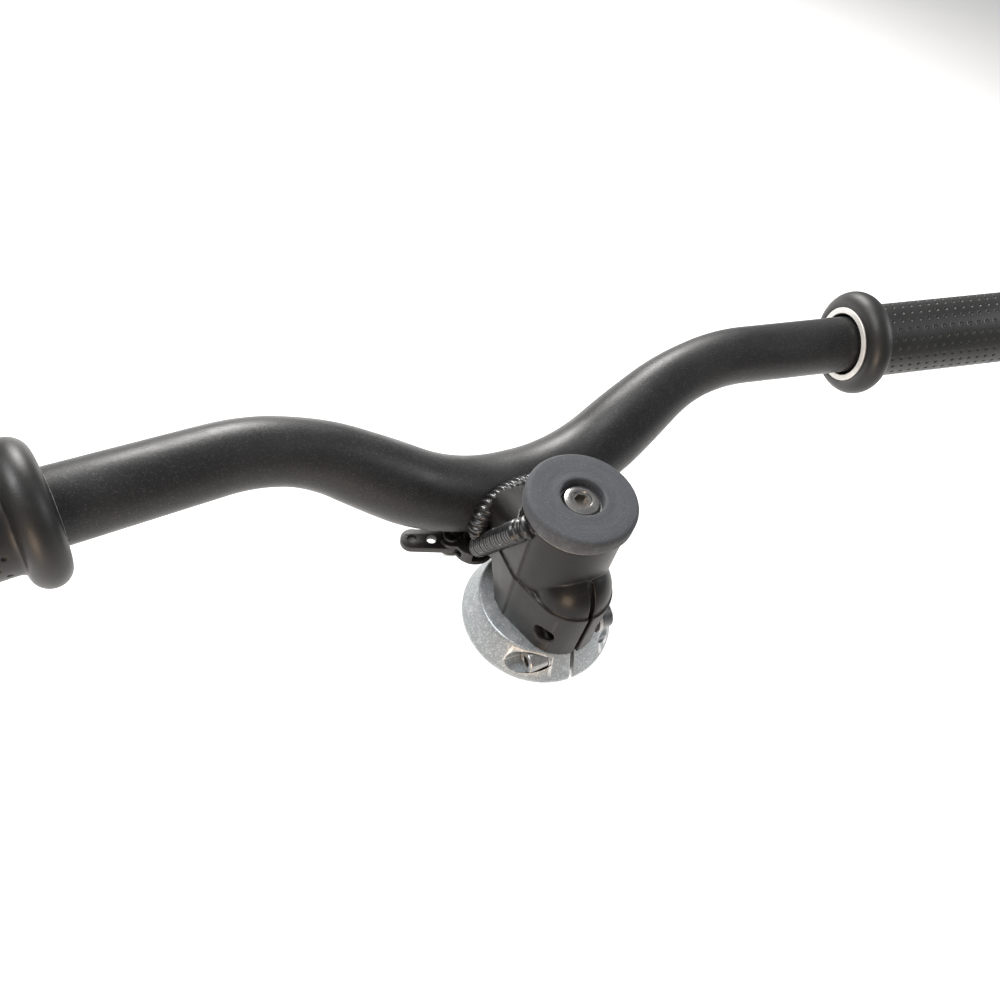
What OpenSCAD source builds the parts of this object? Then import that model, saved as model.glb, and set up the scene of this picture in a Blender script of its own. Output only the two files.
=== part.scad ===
// One-piece welded handlebar stem for a child's bicycle.
// Origin: steerer axis at the foot of the clamp. +Z up the steerer, +Y forward, +X to the rider's right.

/* [Steerer clamp] */
// Diameter of the steerer tube that the clamp grips
steerer_d = 25.4; // [22.2:0.1:31.8]
// Wall of the clamp at its sides
clamp_wall = 2.6; // [2:0.1:5]
// Height of the clamp from its foot to the top of its neck
clamp_h = 44.5; // [40:0.5:56]
// Height of the straight band at the foot of the clamp
band_h = 20.5; // [17:0.5:25]
// How far the dome and the neck stand in from the band at the crease
dome_step = 0.7; // [0.2:0.1:1.2]
// Radius of the rear lug
lug_r = 12.4; // [10:0.1:13]
// Metal between the pinch bolt's hole and the outside of the lug
lug_wall = 3.1; // [1.5:0.1:4]
// Metal between the pinch bolt's hole and the steerer bore
bore_land = 0.6; // [0.4:0.1:2]
// Width of the slit down the back
slit_w = 1.4; // [0.8:0.1:2.5]
// Length of the bore that grips the steerer
grip_bore_h = 24; // [18:0.5:26]
// Extra radius of the bore above the grip, clear of the steerer's cut end
relief = 0.6; // [0.3:0.1:1]

/* [Pinch bolt] */
// Thread diameter of the pinch bolt
pinch_d = 5; // [4:1:6]
// Height of the pinch bolt above the foot
pinch_z = 8.6; // [7:0.1:10]
// Length under the pinch bolt's head
pinch_len = 14.5; // [13:0.5:16]
// Depth of the flat seat under the pinch bolt's head
pinch_seat_depth = 3.6; // [1:0.1:4]

/* [Handlebar] */
// Diameter of the bar at the stem
bar_d = 24; // [20:0.5:25.4]
// Diameter of the bar at the grips
bar_end_d = 19; // [17:0.5:22.2]
// Wall of the bar
bar_wall = 2.2; // [1.5:0.1:3]
// Height of the bar's centre above the foot of the clamp
bar_z = 17; // [15:0.5:24]
// Distance of the bar's centre ahead of the steerer
bar_y = 32; // [31:0.5:45]
// Half length of the bar's middle, to the first bend
mid_half = 21; // [20:0.5:26]
// Rise of each side, bend to bend
bar_rise = 28.7; // [15:0.1:50]
// Forward run of each side, bend to bend
bar_fwd = 12.5; // [2:0.1:20]
// Sideways run of each side, bend to bend
bar_out = 47; // [40:0.5:70]
// Overall width between the ends of the bar
bar_width = 434; // [380:1:560]
// Backward sweep of the grips, mm in each mm outwards
end_sweep = 0.21; // [0.05:0.01:0.35]
// Upward slope of the grips, mm in each mm outwards
end_rise = 0.11; // [0:0.01:0.2]
// Length of straight tube that each bend uses up on either side
bend_run = 19; // [14:0.5:19.5]
// Distance from the middle at which the bar starts to taper
taper_start = 34; // [28:1:44]
// Distance from the middle at which the bar has reached its end diameter
taper_stop = 70; // [56:1:76]

/* [Extension and welds] */
// Width of the extension and of the flats beside the clamp
ext_w = 31.4; // [31:0.2:38]
// Half height of the extension where it meets the bar
ext_half_h = 7.8; // [6:0.1:9]
// Radius of the weld beads on the clamp joint
clamp_bead_r = 3.4; // [2.5:0.1:4]
// Radius of the weld bead on the bar
bar_bead_r = 3.4; // [2.5:0.1:3.6]
// Angle round the bar that its bead reaches above the middle
bar_bead_top = 50; // [45:1:70]
// Angle round the bar that its bead reaches below the middle
bar_bead_foot = 50; // [45:1:55]

/* [Cap] */
// Diameter of the rubber pad
pad_d = 31.6; // [30:0.1:38]
// Thickness of the rubber pad
pad_h = 4.8; // [4:0.1:7]
// Diameter of the well in the middle of the pad
pad_well_d = 12.2; // [11.8:0.1:14]
// Thread diameter of the cap bolt
cap_bolt_d = 6; // [5:0.5:6.5]
// Length under the cap bolt's head
cap_bolt_len = 19; // [17:0.5:19.5]
// Height of the star nut's hub
star_h = 6; // [4:0.5:8]

/* [Lock collar] */
// Outer diameter of the collar at its foot
collar_d = 49.4; // [46:0.2:60]
// Height of the collar
collar_h = 11.7; // [10.5:0.1:16]
// Height of the straight rim at the collar's foot
collar_rim = 2.2; // [1:0.1:4]
// Width of the flat ring on top that the clamp stands on
collar_land = 5.2; // [4:0.1:6.5]
// Metal between the collar bolt's hole and the bore
collar_bolt_land = 2.45; // [1.45:0.1:3.95]
// Thread diameter of the collar bolt
collar_bolt_d = 4; // [3:0.5:4.5]

/* [Grips] */
// Length of each grip from flange to closed end
grip_len = 100.5; // [80:0.5:130]
// Diameter of the grip's sleeve
grip_d = 25; // [24.5:0.5:32]
// Diameter of the grip's flanges
flange_d = 35.5; // [33:0.5:44]
// Thickness of the grip's inner flange
flange_h = 9; // [7:0.5:11]
// Rubber between the end of the bar and the end of the grip
grip_end = 4; // [3:0.5:6]

/* [Reflector bracket] */
// Width of the bracket's arm
arm_w = 7.4; // [7:0.1:9]
// Thickness of the bracket's arm
arm_t = 2.4; // [1.6:0.1:3]
// Length of the arm from its pivot to its dimple
arm_len = 12.4; // [11:0.1:25]
// Diameter of the hole for the reflector's bolt
arm_hole_d = 3.2; // [2.5:0.1:3.6]

/* [Hidden] */
$fn = 72;
tuck = 0.02;         // how far a flat cuts inside the round faces that it joins
eps = 0.01;          // overshoot of a cut past the face that it opens
far = 80;            // reach of a cut that must leave the part
open_gap = 0.2;      // radial clearance of the collar until its bolt draws it tight
run_gap = 0.05;      // radial clearance of a thread or shaft in its hole
free_gap = 0.3;      // clearance of a bolt's shank in a plain hole
seat_gap = 0.05;     // room between parts that a bolt draws together
hull_fn = 32;

// Steerer clamp
bore_r = steerer_d / 2;
clamp_r = bore_r + clamp_wall;
neck_r = clamp_r - dome_step;
pinch_r = pinch_d / 2;
pinch_y = -(bore_r + bore_land + pinch_r + run_gap);
lug_y = pinch_y - pinch_r - run_gap - lug_wall + lug_r;
pinch_head_r = pinch_d * 0.85;
pinch_head_h = pinch_d * 0.8;
pinch_washer_t = 1;
pinch_washer_r = pinch_head_r + 0.6;
pinch_face_x = sqrt(lug_r * lug_r - pow(pinch_y - lug_y, 2));
pinch_seat_x = pinch_face_x - pinch_seat_depth;
pinch_mouth_r = pinch_r + 0.4;

// Joint between the clamp's forging and the extension: a plane that leans back
ext_half = ext_w / 2;
joint_drop = 1.6;     // how far the joint's top edge lies below the top of the neck
joint_top = [0, clamp_h - joint_drop];                // [y, z]
joint_foot = [bore_r + 7, bar_z - 10.6];
joint_dir = (joint_foot - joint_top) / norm(joint_foot - joint_top);
joint_len = norm(joint_foot - joint_top);
bead_corner_r = 4.5;
flank_foot_y = 4;
flank_knee = [11, 12.5];

// Handlebar: directions and bends of the right half
mid_dir = [1, 0, 0];
rise_vec = [bar_out, bar_fwd, bar_rise];
rise_dir = rise_vec / norm(rise_vec);
end_dir = [1, -end_sweep, end_rise] / norm([1, -end_sweep, end_rise]);
corner_a = [mid_half, bar_y, bar_z];
corner_b = corner_a + rise_vec;
bar_r = bar_d / 2;
bar_end_r = bar_end_d / 2;
tip_len = (bar_width / 2 - corner_b[0]) / end_dir[0];
bar_tip = corner_b + end_dir * tip_len;
bend_a_angle = acos(mid_dir * rise_dir);
bend_a_r = bend_run / tan(bend_a_angle / 2);
bend_a_in = (rise_dir - mid_dir * (mid_dir * rise_dir)) / norm(rise_dir - mid_dir * (mid_dir * rise_dir));

// Cap
plate_t = 1.4;
plate_z = clamp_h + seat_gap;
pad_z = plate_z + plate_t;
cup_t = 1;
cap_bolt_r = cap_bolt_d / 2;
cap_head_r = cap_bolt_d * 0.85;
cap_head_h = 2.6;
cap_seat_z = pad_z + cup_t;
star_z = cap_seat_z - cap_bolt_len + 0.5;

// Collar
collar_r = collar_d / 2;
collar_bore_r = bore_r + open_gap;
collar_top_r = clamp_r + collar_land;
collar_bolt_r = collar_bolt_d / 2;
collar_head_r = collar_bolt_d * 0.875;
collar_head_h = 6;
collar_seat_wall = 6;
collar_head_room = 0.5;
collar_bolt_y = -(collar_bore_r + collar_bolt_r + collar_bolt_land);
collar_bolt_z = -(collar_head_r + collar_head_room + 0.7);
collar_seat_x = -(slit_w / 2 + collar_seat_wall);
collar_washer_t = 0.8;
collar_bolt_len = 13;
seal_h = 1.6;
seal_r = collar_r - 3;

// Grips
grip_r = grip_d / 2;
flange_r = flange_d / 2;
ring_t = 1.2;
ring_r = 12.6;
ring_bore_r = 10.6;

// Bracket: a base under the bar with a pad, a hook and two ears that hold the arm between them
hook_at = [-14.6, bore_r + 10.7];
hook_r = 7;
pad_at = [-14.8, bar_y + 2.6];
pad_foot_r = 5;
arm_turn = 160;      // direction of the arm, degrees from +X
pivot_out = 7.8;
pivot_at = hook_at + pivot_out * [cos(arm_turn), sin(arm_turn)];
ear_t = 1.4;
base_z = bar_z - bar_r - 4.1;
arm_z = base_z + ear_t + seat_gap;
ear_top = arm_z + arm_t + seat_gap + ear_t;
pivot_r = 1.5;
screw_head_r = 2.6;
screw_head_h = 1.4;

// ---- helpers ----
module along_x(x0, x1, y, z, r)
    translate([x0, y, z]) rotate([0, 90, 0]) cylinder(h = x1 - x0, r = r);

// Puts local Z along dir, with local X as near as it goes to hint
module aim(at, dir, hint) {
    x = hint - dir * (hint * dir);
    ux = x / norm(x);
    uy = cross(dir, ux);
    multmatrix([[ux[0], uy[0], dir[0], at[0]], [ux[1], uy[1], dir[1], at[1]],
                [ux[2], uy[2], dir[2], at[2]]]) children();
}

module hex(af, h) cylinder(h = h, r = af / sqrt(3), $fn = 6);

function ring_points(p, t, side, r, sides) =
    let (e1 = (side - t * (side * t)) / norm(side - t * (side * t)), e2 = cross(t, e1))
    [for (k = [0 : sides - 1]) p + r * (cos(360 * k / sides) * e1 + sin(360 * k / sides) * e2)];

// Tube swept through pts; outs are directions that point away from the joint at each point
module bead(pts, outs, r, ripple, closed) {
    n = len(pts);
    sides = 10;
    function before(i) = closed ? pts[(i + n - 1) % n] : pts[max(i - 1, 0)];
    function after(i) = closed ? pts[(i + 1) % n] : pts[min(i + 1, n - 1)];
    function tangent(i) = (after(i) - before(i)) / norm(after(i) - before(i));
    rings = [for (i = [0 : n - 1])
        each ring_points(pts[i], tangent(i), outs[i], r + (i % 2 == 0 ? ripple : -ripple), sides)];
    spans = closed ? n : n - 1;
    walls = [for (i = [0 : spans - 1]) for (k = [0 : sides - 1])
        let (a = i * sides + k, b = i * sides + (k + 1) % sides,
             c = ((i + 1) % n) * sides + (k + 1) % sides, d = ((i + 1) % n) * sides + k)
        each [[a, b, c], [a, c, d]]];
    caps = closed ? [] : [for (k = [1 : sides - 2]) each
        [[0, k + 1, k], [(n - 1) * sides, (n - 1) * sides + k, (n - 1) * sides + k + 1]]];
    polyhedron(points = rings, faces = [for (f = concat(walls, caps)) [f[2], f[1], f[0]]]);
}

// ---- handlebar ----
// Point and direction at fraction f of the bend at corner q, from direction u to direction v
function on_bend(q, u, v, f) =
    let (angle = acos(u * v), big_r = bend_run / tan(angle / 2),
         in = (v - u * (u * v)) / norm(v - u * (u * v)))
    [q - u * bend_run + in * big_r * (1 - cos(f * angle)) + u * big_r * sin(f * angle),
     u * cos(f * angle) + in * sin(f * angle)];

bend_steps = 12;
taper_steps = 4;
taper_from = corner_a + rise_dir * bend_run;
taper_to = corner_b - rise_dir * bend_run;
// Stations along the right half of the bar, each a point and a direction
half_line = concat(
    [[[0, bar_y, bar_z], mid_dir]],
    [for (i = [0 : bend_steps]) on_bend(corner_a, mid_dir, rise_dir, i / bend_steps)],
    [for (i = [1 : taper_steps - 1]) [taper_from + (taper_to - taper_from) * i / taper_steps, rise_dir]],
    [for (i = [0 : bend_steps]) on_bend(corner_b, rise_dir, end_dir, i / bend_steps)]);

function smooth(t) = let (c = min(max(t, 0), 1)) c * c * (3 - 2 * c);
function bar_radius(x) =
    bar_r + (bar_end_r - bar_r) * smooth((abs(x) - taper_start) / (taper_stop - taper_start));
function flip(p) = [-p[0], p[1], p[2]];

// Skin of the bar moved in by inset, from the left tip to the right tip and out past them by more
function bar_skin(inset, more, sides) =
    let (right = concat(half_line, [[bar_tip + end_dir * more, end_dir]]), last = len(right) - 1,
         left = [for (i = [last : -1 : 1]) [flip(right[i][0]), -flip(right[i][1])]])
    [for (s = concat(left, right))
        each ring_points(s[0], s[1], [0, 0, 1], bar_radius(s[0][0]) - inset, sides)];

function skin_faces(rings, sides, from) =
    [for (i = [0 : rings - 2]) for (k = [0 : sides - 1])
        let (a = from + i * sides + k, b = from + i * sides + (k + 1) % sides)
        each [[a, b + sides, b], [a, a + sides, b + sides]]];

bar_sides = 24;
bar_rings = 2 * len(half_line) + 1;

module handlebar() {
    inner = bar_rings * bar_sides;
    last = (bar_rings - 1) * bar_sides;
    ends = [for (k = [0 : bar_sides - 1]) let (n = (k + 1) % bar_sides) each [
        [k, n, inner + n], [k, inner + n, inner + k],
        [last + n, last + k, inner + last + k], [last + n, inner + last + k, inner + last + n]]];
    color([0.09, 0.09, 0.1]) polyhedron(
        points = concat(bar_skin(0, 0, bar_sides), bar_skin(bar_wall, 0, bar_sides)),
        faces = concat(skin_faces(bar_rings, bar_sides, 0),
            [for (f = skin_faces(bar_rings, bar_sides, inner)) [f[2], f[1], f[0]]], ends));
}

// Middle of the bar's tube at x, within the first bend
function bar_mid(x) =
    let (over = max(0, abs(x) - (mid_half - bend_run)),
         dev = bend_a_r - sqrt(bend_a_r * bend_a_r - over * over))
    [x, bar_y, bar_z] + bend_a_in * dev;

// ---- steerer clamp ----
// Flats that join the round clamp to its rear lug, tucked in a hair so that they cross both circles
module lug_cheeks() {
    r1 = clamp_r - tuck;
    r2 = lug_r - tuck;
    s = (r1 - r2) / -lug_y;
    c = sqrt(1 - s * s);
    polygon([[r1 * c, -r1 * s], [r2 * c, lug_y - r2 * s], [-r2 * c, lug_y - r2 * s], [-r1 * c, -r1 * s]]);
}

// Side view of the stub that reaches forward to the extension, drawn as [y, z]
module stub_profile()
    polygon([[0, 0], [flank_foot_y, 0], flank_knee, joint_foot, joint_top, [-2, clamp_h - joint_drop], [-2, 0]]);

module side_extrude(w)
    rotate([90, 0, 90]) translate([0, 0, -w / 2]) linear_extrude(w) children();

module clamp_body() {
    linear_extrude(band_h) lug_cheeks();
    translate([0, lug_y, 0]) cylinder(h = band_h, r = lug_r);
    cylinder(h = band_h, r = clamp_r);
    cylinder(h = clamp_h, r = neck_r);
    translate([0, lug_y, band_h - eps]) intersection() {
        sphere(r = lug_r - dome_step);
        translate([-far, -far, 0]) cube([2 * far, 2 * far, far]);
    }
    intersection() {
        side_extrude(ext_w) stub_profile();
        cylinder(h = band_h, r = norm([ext_half, joint_foot[0]]) + eps);
    }
    intersection() {
        side_extrude(ext_w - 2 * dome_step) stub_profile();
        translate([0, 0, band_h - 1]) cylinder(h = clamp_h, r = norm([ext_half, joint_foot[0]]) + eps);
    }
}

module steerer_clamp() color([0.1, 0.1, 0.1]) difference() {
    clamp_body();
    translate([0, 0, -eps]) cylinder(h = clamp_h + 2 * eps, r = bore_r);
    translate([0, 0, grip_bore_h]) cylinder(h = clamp_h, r = bore_r + relief);
    translate([-slit_w / 2, -far, -eps]) cube([slit_w, far, band_h + 10]);
    along_x(-far, 0, pinch_y, pinch_z, pinch_r + run_gap);
    along_x(-far, -pinch_face_x + 2.5, pinch_y, pinch_z, pinch_mouth_r);
    along_x(0, far, pinch_y, pinch_z, pinch_r + free_gap);
    along_x(pinch_seat_x, far, pinch_y, pinch_z, pinch_washer_r + free_gap);
}

// ---- extension ----
module ext_solid() {
    lean = atan2(-joint_dir[1], joint_dir[0]);
    round_r = 7.5;
    slab = 0.4;
    bite = 1;            // how far the solid starts inside the clamp before it is cut to it
    hull() {
        translate([0, joint_top[0], joint_top[1]]) rotate([-lean, 0, 0])
            for (x = [-1, 1], y = [round_r, joint_len - round_r])
                translate([x * (ext_half - 0.3 - round_r), y, -bite])
                    cylinder(h = slab, r = round_r, $fn = hull_fn);
        translate([0, bar_y, bar_z]) rotate([90, 0, 0])
            for (x = [-1, 1])
                translate([x * (ext_half - 1.2 - ext_half_h), 0, 0])
                    cylinder(h = slab, r = ext_half_h, $fn = hull_fn);
    }
}

module stem_extension() color([0.16, 0.16, 0.17]) difference() {
    ext_solid();
    along_x(-far, far, bar_y, bar_z, bar_r);
    clamp_body();
    translate([0, 0, -1]) cylinder(h = band_h + 1, r = clamp_r);
    cylinder(h = far, r = bore_r + relief);
}

// ---- welds ----
module bar_weld() {
    n = 72;
    stand = 0.8;         // how far the bead's middle stands off the bar
    half = ext_half + 0.8;
    ang = [for (i = [0 : n - 1]) let (t = sin(360 * i / n)) t * (t > 0 ? bar_bead_top : bar_bead_foot)];
    at = [for (i = [0 : n - 1]) half * cos(360 * i / n)];
    outs = [for (i = [0 : n - 1]) [0, -cos(ang[i]), sin(ang[i])]];
    color([0.2, 0.2, 0.21]) bead([for (i = [0 : n - 1]) bar_mid(at[i]) + (bar_r + stand) * outs[i]],
        outs, bar_bead_r, 0.2, true);
}

// Point and outward direction at distance d along the U of the clamp joint
function u_side(d) =
    let (w = ext_half + 0.4, rc = bead_corner_r, leg = joint_len - rc, arc = rc * PI / 2, flat = 2 * (w - rc),
         a1 = (d - leg) / rc * 180 / PI, a2 = (d - leg - arc - flat) / rc * 180 / PI)
    d < leg ? [[-w, d], [-1, 0]]
    : d < leg + arc ? [[-w + rc - rc * cos(a1), leg + rc * sin(a1)], [-cos(a1), sin(a1)]]
    : d < leg + arc + flat ? [[-w + rc + (d - leg - arc), joint_len], [0, 1]]
    : d < leg + 2 * arc + flat ? [[w - rc + rc * sin(a2), leg + rc * cos(a2)], [sin(a2), cos(a2)]]
    : [[w, 2 * leg + 2 * arc + flat - d], [1, 0]];
u_total = 2 * (joint_len - bead_corner_r) + bead_corner_r * PI + 2 * (ext_half + 0.4 - bead_corner_r);

function lift(q) = [q[0], joint_top[0] + joint_dir[0] * q[1], joint_top[1] + joint_dir[1] * q[1]];
function lift_dir(q) = [q[0], joint_dir[0] * q[1], joint_dir[1] * q[1]];

module clamp_weld() {
    n = 96;
    start = 2;
    step = (u_total - 2 * start) / (n - 1);
    q = [for (i = [0 : n - 1]) u_side(start + step * i)];
    color([0.18, 0.18, 0.19]) difference() {
        bead([for (a = q) lift(a[0])], [for (a = q) lift_dir(a[1])], clamp_bead_r, 0.2, false);
        cylinder(h = far, r = bore_r + relief);
        translate([0, 0, clamp_h]) cylinder(h = far, r = far);
    }
}

// ---- bolts ----
// Cap screw with its head from z = 0 up and its shank down
module cap_screw(r, len, head_r, head_h, socket_af, socket_h) difference() {
    union() {
        translate([0, 0, -len]) cylinder(h = len + eps, r = r);
        cylinder(h = head_h, r = head_r);
    }
    translate([0, 0, head_h - socket_h]) hex(socket_af, socket_h + eps);
}

module washer(r, bore, t) difference() {
    cylinder(h = t, r = r);
    translate([0, 0, -eps]) cylinder(h = t + 2 * eps, r = bore);
}

module pinch_bolt() color([0.25, 0.25, 0.27])
    translate([pinch_seat_x + pinch_washer_t + seat_gap * 2, pinch_y, pinch_z]) rotate([0, 90, 0])
        cap_screw(pinch_r, pinch_len, pinch_head_r, pinch_head_h, pinch_d * 0.8, pinch_d / 2);

module pinch_washer() color([0.6, 0.6, 0.62])
    translate([pinch_seat_x + seat_gap, pinch_y, pinch_z]) rotate([0, 90, 0])
        washer(pinch_washer_r, pinch_r + run_gap, pinch_washer_t);

// ---- cap ----
module cap_pad() color([0.3, 0.31, 0.33]) translate([0, 0, pad_z]) difference() {
    edge = 1.5;
    union() {
        cylinder(h = pad_h - edge, r = pad_d / 2);
        cylinder(h = pad_h, r = pad_d / 2 - edge);
        translate([0, 0, pad_h - edge]) rotate_extrude() translate([pad_d / 2 - edge, 0]) circle(r = edge);
    }
    translate([0, 0, -far]) cylinder(h = far, r = pad_d);
    translate([0, 0, -eps]) cylinder(h = pad_h + 2 * eps, r = pad_well_d / 2);
}

module cap_plate() color([0.45, 0.45, 0.47]) difference() {
    union() {
        translate([0, 0, plate_z]) cylinder(h = plate_t, r = clamp_r - 0.5);
        translate([0, 0, plate_z - 2]) cylinder(h = 2 + eps, r = bore_r - 0.5);
    }
    translate([0, 0, plate_z - far / 2]) cylinder(h = far, r = cap_bolt_r + free_gap);
    translate([0, 0, plate_z - 2 - eps]) cylinder(h = 2, r = bore_r - 2.5);
}

module pad_cup() color([0.75, 0.75, 0.77]) translate([0, 0, pad_z]) difference() {
    cylinder(h = cup_t + 0.8, r = pad_well_d / 2 - eps);
    translate([0, 0, cup_t]) cylinder(h = 1, r = pad_well_d / 2 - 0.6);
    translate([0, 0, -eps]) cylinder(h = 2, r = cap_bolt_r + run_gap);
}

module cap_bolt() color([0.78, 0.78, 0.8]) translate([0, 0, cap_seat_z + seat_gap])
    cap_screw(cap_bolt_r, cap_bolt_len, cap_head_r, cap_head_h, 4.2, cap_head_h - 0.6);

module star_nut_core() color([0.6, 0.6, 0.62]) translate([0, 0, star_z]) difference() {
    cylinder(h = star_h, r = cap_bolt_r + 2);
    translate([0, 0, -eps]) cylinder(h = star_h + 2 * eps, r = cap_bolt_r + run_gap);
}

module star_spring(z) translate([0, 0, z]) difference() {
    teeth = 8;
    union() {
        cylinder(h = 0.8, r = bore_r - 4.2);
        for (k = [0 : teeth - 1]) rotate(360 * k / teeth)
            translate([-1.6, 0, 0]) cube([3.2, bore_r - 1.6, 0.8]);
    }
    translate([0, 0, -eps]) cylinder(h = 1, r = cap_bolt_r + 2);
}

module star_nut_springs() color([0.5, 0.5, 0.52]) {
    star_spring(star_z + 0.6);
    star_spring(star_z + star_h - 1.4);
}

// ---- lock collar ----
module lock_collar() color([0.75, 0.76, 0.77]) difference() {
    union() {
        translate([0, 0, -collar_h]) cylinder(h = collar_rim, r = collar_r);
        translate([0, 0, -collar_h + collar_rim])
            cylinder(h = collar_h - collar_rim - seat_gap, r1 = collar_r, r2 = collar_top_r);
    }
    translate([0, 0, -collar_h - eps]) cylinder(h = collar_h + 1, r = collar_bore_r);
    translate([0, 0, -collar_h - eps]) cylinder(h = seal_h, r = seal_r);
    translate([-slit_w / 2, -far, -collar_h - 1]) cube([slit_w, far, collar_h + 2]);
    along_x(-far, 0, collar_bolt_y, collar_bolt_z, collar_bolt_r + free_gap);
    along_x(0, far, collar_bolt_y, collar_bolt_z, collar_bolt_r + run_gap);
    along_x(-far, collar_seat_x, collar_bolt_y, collar_bolt_z, collar_head_r + collar_head_room);
}

module collar_bolt() color([0.7, 0.7, 0.72])
    translate([collar_seat_x - collar_washer_t - 2 * seat_gap, collar_bolt_y, collar_bolt_z])
        rotate([0, -90, 0])
            cap_screw(collar_bolt_r, collar_bolt_len, collar_head_r, collar_head_h, 3, collar_bolt_d / 2);

module collar_washer() color([0.65, 0.65, 0.67])
    translate([collar_seat_x - collar_washer_t - seat_gap, collar_bolt_y, collar_bolt_z])
        rotate([0, 90, 0]) washer(collar_head_r + 0.3, collar_bolt_r + run_gap, collar_washer_t);

module collar_seal() color([0.06, 0.06, 0.06]) translate([0, 0, -collar_h])
    washer(seal_r - eps, seal_r - 4, seal_h - 2 * eps);

// ---- grips ----
// Everything on the right end of the bar is drawn with its Z along the bar and z = 0 at its tip
module at_tip() aim(bar_tip, end_dir, [0, 0, 1]) children();

module grip() at_tip() difference() {
    z0 = grip_end - grip_len;
    edge = flange_h / 2 - eps;
    union() {
        translate([0, 0, z0]) cylinder(h = grip_len, r = grip_r);
        for (z = [z0, grip_end - flange_h]) translate([0, 0, z + flange_h / 2]) {
            rotate_extrude() translate([flange_r - edge, 0]) circle(r = edge);
            translate([0, 0, -edge]) cylinder(h = 2 * edge, r = flange_r - edge);
        }
    }
    translate([0, 0, z0 - 1]) cylinder(h = grip_len - grip_end + 1, r = bar_end_r);
    translate([0, 0, z0 - 1]) difference() {
        cylinder(h = 1 + ring_t, r = ring_r);
        cylinder(h = 1 + ring_t, r = ring_bore_r);
    }
}

module grip_right() color([0.05, 0.05, 0.05]) grip();
module grip_left() color([0.05, 0.05, 0.05]) mirror([1, 0, 0]) grip();

module ring() at_tip() translate([0, 0, grip_end - grip_len])
    washer(ring_r - eps, ring_bore_r + eps, ring_t - eps);

module grip_ring_right() color([0.8, 0.8, 0.8]) ring();
module grip_ring_left() color([0.8, 0.8, 0.8]) mirror([1, 0, 0]) ring();

// ---- reflector bracket ----
module at_pivot(z) translate([pivot_at[0], pivot_at[1], z]) rotate(arm_turn) children();

module bracket_ears() difference() {
    h = ear_top - base_z;
    union() {
        translate([hook_at[0], hook_at[1], base_z]) cylinder(h = h, r = hook_r);
        at_pivot(base_z) cylinder(h = h, r = arm_w / 2);
        translate([0, 0, base_z]) linear_extrude(h) polygon([hook_at, pad_at, pivot_at]);
        at_pivot(base_z) translate([-pivot_out, -arm_w / 2 + tuck, 0])
            cube([pivot_out, arm_w - 2 * tuck, h]);
    }
    // Room for the arm between the ears
    at_pivot(arm_z - seat_gap) translate([-arm_w / 2 - 1.2, -arm_w, 0])
        cube([far, 1.7 * arm_w, arm_t + 2 * seat_gap]);
    // Room for the welds above the hook, and for the bar above the rest
    translate([pivot_at[0] + arm_w / 2 + free_gap, -far, joint_foot[1] - clamp_bead_r - free_gap])
        cube([far, far + joint_foot[0] + clamp_bead_r + 4.6, far]);
    translate([-far, hook_at[1] + 2.4, bar_z - bar_r - free_gap - 0.2]) cube([2 * far, far, far]);
    at_pivot(-far / 2) cylinder(h = far, r = pivot_r + run_gap);
}

module bracket_saddle() difference() {
    translate([pad_at[0], pad_at[1], base_z]) cylinder(h = bar_z - base_z - 6, r = pad_foot_r);
    along_x(-far / 2, -eps, bar_y, bar_z, bar_r + free_gap);
}

module bracket_base() color([0.12, 0.12, 0.12]) difference() {
    union() {
        bracket_ears();
        bracket_saddle();
    }
    translate([pad_at[0], pad_at[1], -far / 2]) cylinder(h = far, r = pivot_r + free_gap);
}

module bracket_arm() color([0.16, 0.16, 0.16]) at_pivot(arm_z) difference() {
    union() {
        cylinder(h = arm_t, r = arm_w / 2);
        translate([0, -arm_w / 2 + tuck, 0]) cube([arm_len, arm_w - 2 * tuck, arm_t]);
        translate([arm_len, 0, 0]) cylinder(h = arm_t, r = arm_w / 2);
    }
    translate([0, 0, -1]) cylinder(h = 5, r = pivot_r + run_gap);
    translate([arm_len / 2, 0, -1]) cylinder(h = 5, r = arm_hole_d / 2);
    translate([arm_len, 0, arm_t - 0.5]) cylinder(h = 1, r = 1.4);
}

module bracket_bolt() color([0.5, 0.5, 0.52]) at_pivot(ear_top + seat_gap)
    cap_screw(pivot_r, 7.8, screw_head_r, screw_head_h, 2, 1);

module bracket_nut() color([0.55, 0.55, 0.57]) at_pivot(base_z - 2 - seat_gap) difference() {
    hex(5.5, 2);
    translate([0, 0, -1]) cylinder(h = 5, r = pivot_r + run_gap);
}

module bracket_screw() color([0.5, 0.5, 0.52]) translate([pad_at[0], pad_at[1], base_z - seat_gap])
    mirror([0, 0, 1]) cap_screw(pivot_r, 8, screw_head_r, screw_head_h, 2, 1);

handlebar();
stem_extension();
steerer_clamp();
bar_weld();
clamp_weld();
pinch_bolt();
pinch_washer();
cap_pad();
cap_plate();
pad_cup();
cap_bolt();
star_nut_core();
star_nut_springs();
lock_collar();
collar_bolt();
collar_washer();
collar_seal();
grip_left();
grip_right();
grip_ring_left();
grip_ring_right();
bracket_base();
bracket_screw();
bracket_arm();
bracket_bolt();
bracket_nut();
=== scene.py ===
import math

import bmesh
import bpy
from bpy.props import FloatProperty, FloatVectorProperty, IntProperty, PointerProperty
from mathutils import Matrix, Vector


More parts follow.
